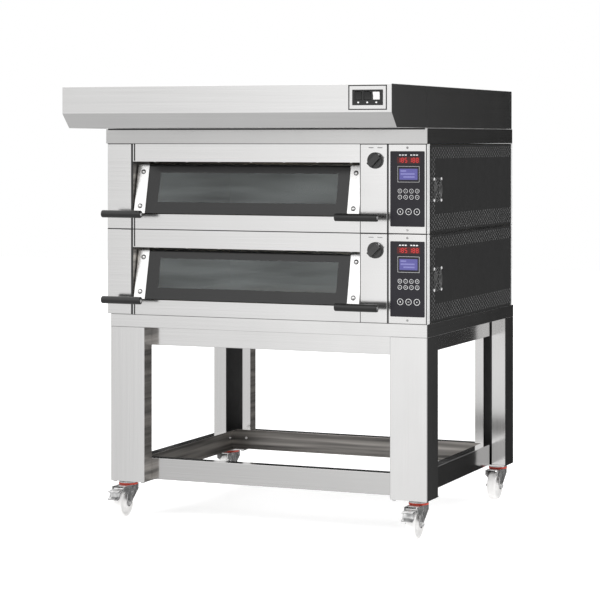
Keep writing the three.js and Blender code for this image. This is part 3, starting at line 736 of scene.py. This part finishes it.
def mouth_screws(deck):
    """Row of screws that hold the lining, seen along the ceiling of the mouth."""
    low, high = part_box(f"{deck}_mouth_frame")
    lining = 2.5 * MM
    ceiling = deck_bottom[deck] + MOUTH_TOP - lining
    y = deck_front + 12 * MM
    count = 7
    pitch = (high.x - low.x) / count
    first = low.x + 0.7 * pitch
    spots = [(first + pitch * i, y, ceiling) for i in range(count)]
    add_screws(f"{deck}_lining_screws", spots, "-z", 4.5 * MM, "bright_steel")


def mouth_frame(deck):
    """The front bands and the lining of the mouth, with painted shade on the lining: a darker dull finish
    at its sides and near-black on its ceiling.
    """
    middle = middle_of(f"{deck}_mouth_frame")
    band, lining_side, lining_top = range(3)

    # Lining sides and ceiling get painted shade.
    def choose(face):
        centre = face.calc_center_median()
        if centre.y < deck_front + 2 * MM:
            return band
        if abs(face.normal.x) > 0.9:
            return lining_side
        return lining_top if face.normal.z < -0.9 and centre.z > middle.z else band

    fold(f"{deck}_mouth_frame", 1.2 * MM, "steel", extra=("mill_and_painted_shade", "seal_and_painted_shade"), choose=choose)


def front_joints(deck):
    """Dark strips set just proud of the surface in the joints of the deck's front: painted shade that
    stands in for the shadow in each joint.
    """
    mouth_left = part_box(f"{deck}_mouth_frame")[0].x
    mouth_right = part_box(f"{deck}_right_front_panel")[0].x
    control_low, control_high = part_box(f"{deck}_control_panel")
    # Each upright joint's middle and its width.
    joints = {
        "left": (mouth_left, 7.5 * MM),
        "strip": (mouth_left + 10 * MM, 5 * MM),
        "right": (mouth_right, 1.6 * MM),
        "control": (control_low.x - 2 * MM, 5 * MM),
        "post": (control_high.x - 1 * MM, 3 * MM),
    }
    low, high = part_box(f"{deck}_casing")
    mouth = (deck_bottom[deck] + MOUTH_BOTTOM, deck_bottom[deck] + MOUTH_TOP)
    front = (deck_front - 0.15 * MM, deck_front + 1.5 * MM)
    shape = bmesh.new()
    for name, (x, width) in joints.items():
        spans = [(low.z, high.z)]
        if name == "strip":
            spans = [(low.z, mouth[0]), (mouth[1], high.z)]
        for z0, z1 in spans:
            add_box(shape, (x - width / 2, front[0], z0), (x + width / 2, front[1], z1))
    over_top = (high.z - 1 * MM, high.z + 2 * MM)
    add_box(shape, (low.x, front[0], over_top[0]), (high.x, front[1], over_top[1]))
    add_piece(f"{deck}_front_painted_shade_strips", shape, "oven_body", ("seal_and_painted_shade",))


for deck in DECKS:
    casing(deck)
    right_cover(deck)
    cover_screws(deck)
    fan_guard(deck)
    for panel in ("left_front_panel", "right_front_panel", "control_panel"):
        fold(f"{deck}_{panel}", 2 * MM, "steel")
    mouth_frame(deck)
    mouth_screws(deck)
    front_joints(deck)


# ---------------------------------------- doors

DOOR_TILT = math.radians(13)
# Heights over the deck's foot.
DOOR_FOOT = 55.5 * MM
HANDLE_HEIGHT = 54.5 * MM
# The pane's edges and its clear window: places up the door, and in from its ends.
PANE_ROWS = (1 * MM, 42 * MM, 147 * MM, 175 * MM)
WINDOW_INSET = 85 * MM
PANE_THICKNESS = 5 * MM
HANDLE_RADIUS = 13 * MM
ARM_BOLT_ROWS = (26 * MM, 149 * MM)

# Outlines of turned pieces: (distance along the axis, radius).
HANDLE_FIXING = [(0.0, 7 * MM), (2.5 * MM, 7 * MM), (3.5 * MM, 5.5 * MM), (3.5 * MM, 3 * MM)]
HANDLE_FIXING += [(1.5 * MM, 0.0)]
BOLT_RING = [(0.0, 8.6 * MM), (0.6 * MM, 8.6 * MM), (0.6 * MM, 6.6 * MM), (0.0, 6.6 * MM)]
BOLT_DOME = [(0.0, 6.8 * MM), (1.6 * MM, 6.5 * MM), (2.8 * MM, 4.8 * MM), (3.4 * MM, 2.4 * MM)]
BOLT_DOME += [(3.5 * MM, 0.0)]


def door_axes(deck):
    """Foot of the door's outer face, the way up the door and the way out of it."""
    up = Vector((0, math.sin(DOOR_TILT), math.cos(DOOR_TILT)))
    out = Vector((0, -math.cos(DOOR_TILT), math.sin(DOOR_TILT)))
    foot = Vector((0, deck_front, deck_bottom[deck] + DOOR_FOOT))
    return foot, up, out


def door_glass(deck):
    """A pane of three by three fields: the middle one is the clear window, the rest printed black."""
    node_name = f"{deck}_door_glass"
    low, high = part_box(node_name)
    foot, up, out = door_axes(deck)
    columns = (low.x, low.x + WINDOW_INSET, high.x - WINDOW_INSET, high.x)
    shape = bmesh.new()
    for level, facing in ((0.0, 1), (-PANE_THICKNESS, -1)):
        grid = [
            [shape.verts.new(Vector((x, 0, 0)) + foot + up * along + out * level) for x in columns]
            for along in PANE_ROWS
        ]
        for j in range(3):
            for i in range(3):
                corners = [grid[j][i], grid[j][i + 1], grid[j + 1][i + 1], grid[j + 1][i]]
                face = shape.faces.new(corners[::facing])
                face.material_index = 1 if i == j == 1 else 0
    edges = [edge for edge in shape.edges if edge.is_boundary]
    bmesh.ops.bridge_loops(shape, edges=edges)
    bmesh.ops.recalc_face_normals(shape, faces=shape.faces)
    add_piece(f"{node_name}_printed", shape, body_of(node_name), ("enamel", "window"), (node_name,))


def grip_profile(length):
    """A plain grip with rounded ends and a shallow bore in its right end."""
    radius = HANDLE_RADIUS
    edge = 3 * MM
    soft = edge * 0.3
    bore = 8 * MM
    profile = [(0.0, 0.0), (0.0, radius - edge), (soft, radius - soft), (edge, radius)]
    profile += [(length - edge, radius), (length - soft, radius - soft), (length, radius - edge)]
    profile += [(length, bore), (length - edge, bore - 0.5 * MM), (length - edge, 0.0)]
    return profile


def door_handles(deck):
    """Black grips with rounded ends, a post behind and a bright fixing in the right end."""
    frame_low, frame_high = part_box(f"{deck}_door_frame")
    foot, up, out = door_axes(deck)
    post_x = {"left": frame_low.x + 26 * MM, "right": frame_high.x - 26 * MM}
    post_end = (foot + out * 4 * MM + up * 4.5 * MM).y
    half_width = 6 * MM
    half_height = 5 * MM
    fixing_depth = 3 * MM
    z = deck_bottom[deck] + HANDLE_HEIGHT
    for side in SIDES:
        node_name = f"{deck}_door_{side}_handle"
        low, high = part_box(node_name)
        y = low.y + HANDLE_RADIUS
        x = post_x[side]
        shape = bmesh.new()
        add_turned(shape, grip_profile(high.x - low.x), (low.x, y, z), "x", segments=40)
        near = (x - half_width, y, z - half_height)
        add_box(shape, near, (x + half_width, post_end, z + half_height))
        add_piece(f"{node_name}_turned", shape, body_of(node_name), ("black",), (node_name,))
        shape = bmesh.new()
        add_turned(shape, HANDLE_FIXING, (high.x - fixing_depth, y, z), "x", segments=24)
        add_piece(f"{node_name}_fixing", shape, body_of(node_name), ("chrome",))


def door_bolts(deck):
    """Two dome bolts with dark washers on each arm."""
    low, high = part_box(f"{deck}_door_frame")
    foot, up, out = door_axes(deck)
    body = body_of(f"{deck}_door_frame")
    arms = {"left": low.x + 29 * MM, "right": high.x - 26 * MM}
    arm_surface = 3.5 * MM
    turn = Matrix.Rotation(-DOOR_TILT, 4, "X") @ Matrix.Rotation(math.pi / 2, 4, "X")
    for side, x in arms.items():
        shape = bmesh.new()
        for along in ARM_BOLT_ROWS:
            centre = Vector((x, 0, 0)) + foot + up * along + out * arm_surface
            start = len(shape.verts)
            add_turned(shape, BOLT_DOME, (0, 0, 0), "z", segments=24)
            add_turned(shape, BOLT_RING, (0, 0, 0), "z", segments=24, material=1)
            shape.verts.ensure_lookup_table()
            place = Matrix.Translation(centre) @ turn
            for corner in shape.verts[start:]:
                corner.co = place @ corner.co
        name = f"{deck}_door_{side}_arm_bolts"
        add_piece(name, shape, body, ("bright_steel", "seal_and_painted_shade"), sharp=50)


for deck in DECKS:
    fold(f"{deck}_door_frame", 1.2 * MM, "bright_steel", narrowest=3 * MM)
    door_glass(deck)
    door_handles(deck)
    door_bolts(deck)


# ---------------------------------------- controls

INK = 0.1 * MM
POINTER_TURN = math.radians(38)


def damper_knob(deck):
    """The knob and a bright pointer set in its skirt."""
    node_name = f"{deck}_damper_knob"
    fold(node_name, 1.2 * MM, "knob", narrowest=3 * MM)
    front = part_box(node_name)[0].y
    middle = middle_of(node_name)
    half_width = 3 * MM
    depth = (front + 12 * MM, front + 20 * MM)
    reach = (20 * MM, 27 * MM)
    shape = bmesh.new()
    turn = Matrix.Translation((middle.x, 0, middle.z)) @ Matrix.Rotation(POINTER_TURN, 4, "Y")
    add_box(shape, (-half_width, depth[0], reach[0]), (half_width, depth[1], reach[1]))
    for corner in shape.verts:
        corner.co = turn @ corner.co
    add_piece(f"{deck}_knob_pointer", shape, body_of(node_name), ("chrome",))


# A digit's strokes: middle across and up the digit, in its own size, and whether it lies flat.
SEGMENTS = {
    "a": (0.5, 1.0, True),
    "b": (1.0, 0.75, False),
    "c": (1.0, 0.25, False),
    "d": (0.5, 0.0, True),
    "e": (0.0, 0.25, False),
    "f": (0.0, 0.75, False),
    "g": (0.5, 0.5, True),
}
DIGITS = {"1": "bc", "5": "afgcd", "8": "abcdefg"}


def add_digit(shape, digit, x, z, y, height):
    """One seven-segment digit with its lower left corner at x, z."""
    width = height * 0.5
    stroke = height * 0.16
    for key in DIGITS[digit]:
        across, up, flat = SEGMENTS[key]
        size = (width * 0.8, stroke) if flat else (stroke, height * 0.42)
        centre = (x + across * width, y, z + up * height)
        add_slab(shape, centre, size[0], size[1], INK, stroke * 0.3)


OVERLAY_WIDTH = 122 * MM
OVERLAY_HEIGHT = 252 * MM
SKIN = 0.6 * MM
# Each of the two readings, and the dashes over it, is this far from the middle of the keys.
READING_OFFSET = 20 * MM
# The screen's rows: left end from the middle of the screen, and length.
SCREEN_ROWS = ((-28 * MM, 20 * MM), (-28 * MM, 50 * MM), (-18 * MM, 40 * MM))
SMALL_KEY = {"radius": 7.4 * MM, "line": 1.3 * MM, "pitch": 20.5 * MM, "below_top": 133 * MM}
LARGE_KEY = {"radius": 10.8 * MM, "line": 1.5 * MM, "pitch": 29.5 * MM, "below_top": 202 * MM}


def overlay_origin(deck):
    """The middle of the keys, the overlay's printed face and its top edge."""
    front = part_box(f"{deck}_control_panel")[0].y
    middle = middle_of(f"{deck}_control_panel")
    return middle.x + 4 * MM, front - SKIN, middle.z + OVERLAY_HEIGHT / 2


def control_overlay(deck):
    """Black membrane on the control panel, and the panel's two screws."""
    low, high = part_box(f"{deck}_control_panel")
    x = (low.x + high.x) / 2
    shape = bmesh.new()
    centre = (x, low.y, (low.z + high.z) / 2)
    add_slab(shape, centre, OVERLAY_WIDTH, OVERLAY_HEIGHT, SKIN, 3 * MM)
    add_piece(f"{deck}_control_overlay", shape, "oven_body", ("overlay",))
    inset = 12 * MM
    spots = [(x, low.y, z) for z in (low.z + inset, high.z - inset)]
    add_screws(f"{deck}_control_panel_screws", spots, "-y", 4 * MM)


def red_readings(deck):
    """The red window and two glowing readings in it."""
    x, y, top = overlay_origin(deck)
    window_z = top - 30 * MM
    digit_foot = top - 37 * MM
    digit_height = 14 * MM
    digit_pitch = 12 * MM
    shape = bmesh.new()
    add_slab(shape, (x, y, window_z), 82 * MM, 22 * MM, INK, 2 * MM)
    add_piece(f"{deck}_reading_window", shape, "oven_body", ("red_window",))
    shape = bmesh.new()
    for group, digits in ((-1, "185"), (1, "188")):
        for i, digit in enumerate(digits):
            left = x + group * READING_OFFSET + (i - 1.4) * digit_pitch
            add_digit(shape, digit, left, digit_foot, y - INK, digit_height)
    add_piece(f"{deck}_red_digits", shape, "oven_body", ("red_light",))


def blue_screen(deck):
    """A screen with three rows, in a thin grey frame."""
    x, y, top = overlay_origin(deck)
    z = top - 77 * MM
    border = 0.3 * MM
    glass = 0.2 * MM
    row_pitch = 10 * MM
    shape = bmesh.new()
    add_slab(shape, (x, y, z), 78 * MM, 54 * MM, border, 2 * MM)
    y -= border
    add_slab(shape, (x, y, z), 74.5 * MM, 50.5 * MM, INK, 2 * MM, 1)
    add_piece(f"{deck}_screen_bezel", shape, "oven_body", ("grey_print", "overlay"))
    shape = bmesh.new()
    y -= INK
    add_slab(shape, (x, y, z), 64 * MM, 37 * MM, glass, 1 * MM)
    y -= glass
    for i, (start, length) in enumerate(SCREEN_ROWS):
        centre = (x + start + length / 2, y, z + 11 * MM - row_pitch * i)
        add_slab(shape, centre, length, 5 * MM, INK, 0.5 * MM, 1)
    add_piece(f"{deck}_screen", shape, "oven_body", ("screen", "screen_text"))


def keypad(deck):
    """Eight small keys, three large ones, and three dashes over each reading."""
    x, y, top = overlay_origin(deck)
    shape = bmesh.new()
    pitch = SMALL_KEY["pitch"]
    for row in range(2):
        for i in range(4):
            spot = (x + (i - 1.5) * pitch, y, top - SMALL_KEY["below_top"] - pitch * row)
            add_key(shape, spot, SMALL_KEY, row * 2 + i)
    for i in range(3):
        spot = (x + (i - 1) * LARGE_KEY["pitch"], y, top - LARGE_KEY["below_top"])
        add_key(shape, spot, LARGE_KEY, i)
    dash_z = top - 13 * MM
    dash_pitch = 10 * MM
    for group in (-1, 1):
        for dash in range(3):
            dash_x = x + group * READING_OFFSET + (dash - 1) * dash_pitch
            add_slab(shape, (dash_x, y, dash_z), 7 * MM, 4 * MM, INK, 0.5 * MM)
    add_piece(f"{deck}_key_marks", shape, "oven_body", ("print",))


def add_key(shape, spot, key, sign):
    """A printed ring with one of three small signs in it."""
    radius = key["radius"]
    inner = radius - key["line"]
    ring = [(0.0, radius), (INK, radius), (INK, inner), (0.0, inner)]
    add_turned(shape, ring, spot, "-y", segments=28)
    size = radius * 0.5
    signs = ((size * 0.5, size, 0.3 * MM), (size, size * 0.3, 0.3 * MM), (size * 0.6, size * 0.6, 0.5 * MM))
    width, height, corner = signs[sign % len(signs)]
    add_slab(shape, spot, width, height, INK, corner)


def knob_scale(deck):
    """Two short printed dashes over the damper knob."""
    middle = middle_of(f"{deck}_damper_knob")
    low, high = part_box(f"{deck}_right_front_panel")
    offset = 16 * MM
    z = high.z - 12 * MM
    shape = bmesh.new()
    for side in (-1, 1):
        add_slab(shape, (middle.x + side * offset, low.y, z), 18 * MM, 3.5 * MM, INK, 0.5 * MM)
    add_piece(f"{deck}_knob_scale", shape, "oven_body", ("grey_print",))


for deck in DECKS:
    damper_knob(deck)
    control_overlay(deck)
    red_readings(deck)
    blue_screen(deck)
    keypad(deck)
    knob_scale(deck)


# ---------------------------------------- hood


def hood_painted_shadow_strip():
    """Black strip between the tray and the hood: painted shadow in the gap under the hood."""
    low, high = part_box("top_collar")
    inset = 8 * MM
    proud = 0.5 * MM
    strip = (high.z - 5 * MM, high.z - 0.2 * MM)
    shape = bmesh.new()
    near = (low.x + inset, low.y - proud, strip[0])
    add_box(shape, near, (high.x - inset, low.y + proud, strip[1]))
    add_piece("hood_painted_shadow_strip", shape, "oven_body", ("seal_and_painted_shade",))


def switch_gasket():
    """Dark line of rubber round the switch plate."""
    middle = middle_of("hood_switch_plate")
    half_x = 66 * MM
    half_z = 40 * MM
    line = 3.5 * MM
    y = (hood_front - 0.8 * MM, hood_front)
    shape = bmesh.new()
    for side in (-1, 1):
        x = middle.x + side * (half_x - line / 2)
        z = middle.z + side * (half_z - line / 2)
        add_box(shape, (x - line / 2, y[0], middle.z - half_z), (x + line / 2, y[1], middle.z + half_z))
        add_box(shape, (middle.x - half_x, y[0], z - line / 2), (middle.x + half_x, y[1], z + line / 2))
    add_piece("hood_switch_gasket", shape, "oven_body", ("black",))


def switch_marks():
    """A printed dot under each rocker."""
    low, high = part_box("hood_switch_plate")
    pitch = 31 * MM
    z = low.z + 9 * MM
    shape = bmesh.new()
    for column in (-1, 0, 1):
        x = (low.x + high.x) / 2 + column * pitch
        add_slab(shape, (x, low.y, z), 6 * MM, 5 * MM, INK, 2 * MM)
    add_piece("hood_switch_marks", shape, "oven_body", ("print",))


hood_painted_shadow_strip()
# Darker collar steel: painted shade under the hood.
fold("top_collar", 1.5 * MM, "collar_steel_painted_shade")
fold("hood_canopy", 1.5 * MM, "steel")
fold("hood_plenum", 1.5 * MM, "steel")
for black_part in ("switch_plate", "light_rocker", "fan_rocker"):
    fold(f"hood_{black_part}", 0.8 * MM, "black", narrowest=2 * MM)
fold("hood_power_rocker", 0.8 * MM, "white", narrowest=2 * MM)
switch_gasket()
switch_marks()


# ---------------------------------------- stage


def add_floor():
    mesh = bpy.data.meshes.new("floor")
    reach = 14.0
    corners = [(-reach, -reach, 0), (reach, -reach, 0), (reach, reach, 0), (-reach, reach, 0)]
    mesh.from_pydata(corners, [], [(0, 1, 2, 3)])
    floor = add_object("floor", mesh)
    paper, tree, surface = new_material("floor", Roughness=0.9)
    grain = noise(tree, (3.0, 3.0, 3.0))
    tree.links.new(mix(tree, grain, grey(0.86), grey(0.9)), surface.inputs["Base Color"])
    surface.inputs["Emission Color"].default_value = grey(1.0)
    surface.inputs["Emission Strength"].default_value = 0.5
    mesh.materials.append(paper)
    floor.visible_glossy = False


# Brightness of the studio in reflections: axis of the direction, its span, and the factor at both ends.
STUDIO = (
    ("Z", (0.08, 0.3), (0.88, 1.5)),
    ("X", (-0.47, -0.34), (0.85, 1.22)),
    ("X", (-0.3, -0.15), (1.0, 0.72)),
    ("Z", (-0.15, -0.06), (0.88, 1.0)),
)


def even_grey(tree, value):
    """A grey whose three channels are all the value."""
    channels = {key: value for key in ("Red", "Green", "Blue")}
    return add_node(tree, "CombineColor", channels).outputs["Color"]


def add_world():
    """White for the camera; in reflections, a bright studio in front and a dark room behind."""
    world = bpy.data.worlds.new("studio")
    bpy.context.scene.world = world
    world.use_nodes = True
    tree = world.node_tree
    tree.nodes.clear()
    direction = add_node(tree, "TexCoord").outputs["Generated"]
    split = add_node(tree, "SeparateXYZ", {"Vector": direction}).outputs
    factors = [remap(tree, split[axis], *ends, span) for axis, span, ends in STUDIO]
    brightness = factors[0]
    for factor in factors[1:]:
        brightness = calculate(tree, "MULTIPLY", brightness, factor)
    bright = even_grey(tree, brightness)
    dark = even_grey(tree, remap(tree, split["X"], 0.012, 0.055, (0.29, 0.36)))
    behind = remap(tree, split["Y"], 0.0, 1.0, (0.45, 0.75))
    low = remap(tree, split["Z"], 1.0, 0.0, (0.2, 0.45))
    hidden = calculate(tree, "MULTIPLY", behind, low)
    walls = mix(tree, hidden, bright, dark)
    over_floor = remap(tree, split["Z"], 0.0, 1.0, (-0.45, -0.2))
    mirrored = mix(tree, over_floor, grey(0.55), walls)
    rays = add_node(tree, "LightPath").outputs
    ambient = mix(tree, rays["Is Glossy Ray"], grey(1.0), mirrored)
    shown = mix(tree, rays["Is Camera Ray"], ambient, grey(1.0))
    background = add_node(tree, "Background", {"Color": shown, "Strength": 1.0})
    output = add_node(tree, "OutputWorld")
    tree.links.new(background.outputs["Background"], output.inputs["Surface"])


def add_area(name, place, target, size, power):
    light = bpy.data.lights.new(name, "AREA")
    light.size = size
    light.energy = power
    lamp = add_object(name, light)
    lamp.location = place
    lamp.rotation_euler = (Vector(target) - Vector(place)).to_track_quat("-Z", "Y").to_euler()
    lamp.visible_glossy = False


def add_chamber_lamp(deck):
    """The lamp under the chamber's ceiling that lets the inside be seen through the window."""
    low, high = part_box(f"{deck}_baking_chamber")
    behind_mouth = 120 * MM
    below_ceiling = 50 * MM
    light = bpy.data.lights.new(f"{deck}_chamber_lamp", "POINT")
    light.energy = 1.5
    light.shadow_soft_size = 30 * MM
    lamp = add_object(f"{deck}_chamber_lamp", light)
    lamp.location = ((low.x + high.x) / 2, low.y + behind_mouth, high.z - below_ceiling)
    lamp.visible_camera = False
    lamp.visible_glossy = False


# The photo's camera, solved from the corners of the box-shaped body.
CAMERA_RIGHT = 3.004
CAMERA_BEFORE_DECKS = 6.737
CAMERA_HEIGHT = 1.333
CAMERA_TURN = 0.402
LENS = 129.0
LENS_SHIFT = -0.2673


def add_camera():
    """A level camera; its lens is shifted down to frame the oven and keep its uprights parallel."""
    data = bpy.data.cameras.new("camera")
    camera = add_object("camera", data)
    camera.location = (CAMERA_RIGHT, deck_front - CAMERA_BEFORE_DECKS, CAMERA_HEIGHT)
    camera.rotation_euler = (math.pi / 2, 0, CAMERA_TURN)
    data.lens = LENS
    data.clip_end = 60
    shift_at_height(data, camera)
    bpy.context.scene.camera = camera


def shift_at_height(data, camera):
    """Drives the lens shift: full at the camera's own height, none once it is set up elsewhere."""
    curve = data.driver_add("shift_y")
    curve.driver.type = "AVERAGE"
    height = curve.driver.variables.new()
    height.type = "TRANSFORMS"
    height.targets[0].id = camera
    height.targets[0].transform_type = "LOC_Z"
    height.targets[0].transform_space = "WORLD_SPACE"
    for generator in list(curve.modifiers):
        curve.modifiers.remove(generator)
    margin = 0.05
    for away, shift in ((-margin, 0.0), (0.0, LENS_SHIFT), (margin, 0.0)):
        curve.keyframe_points.insert(CAMERA_HEIGHT + away, shift).interpolation = "LINEAR"


add_floor()
add_world()
add_area("key_light", place=(-3.5, -4.5, 4.2), target=(0, 0, 0.9), size=3.0, power=120)
for deck in DECKS:
    add_chamber_lamp(deck)
add_camera()
bpy.context.scene.view_settings.view_transform = "Standard"
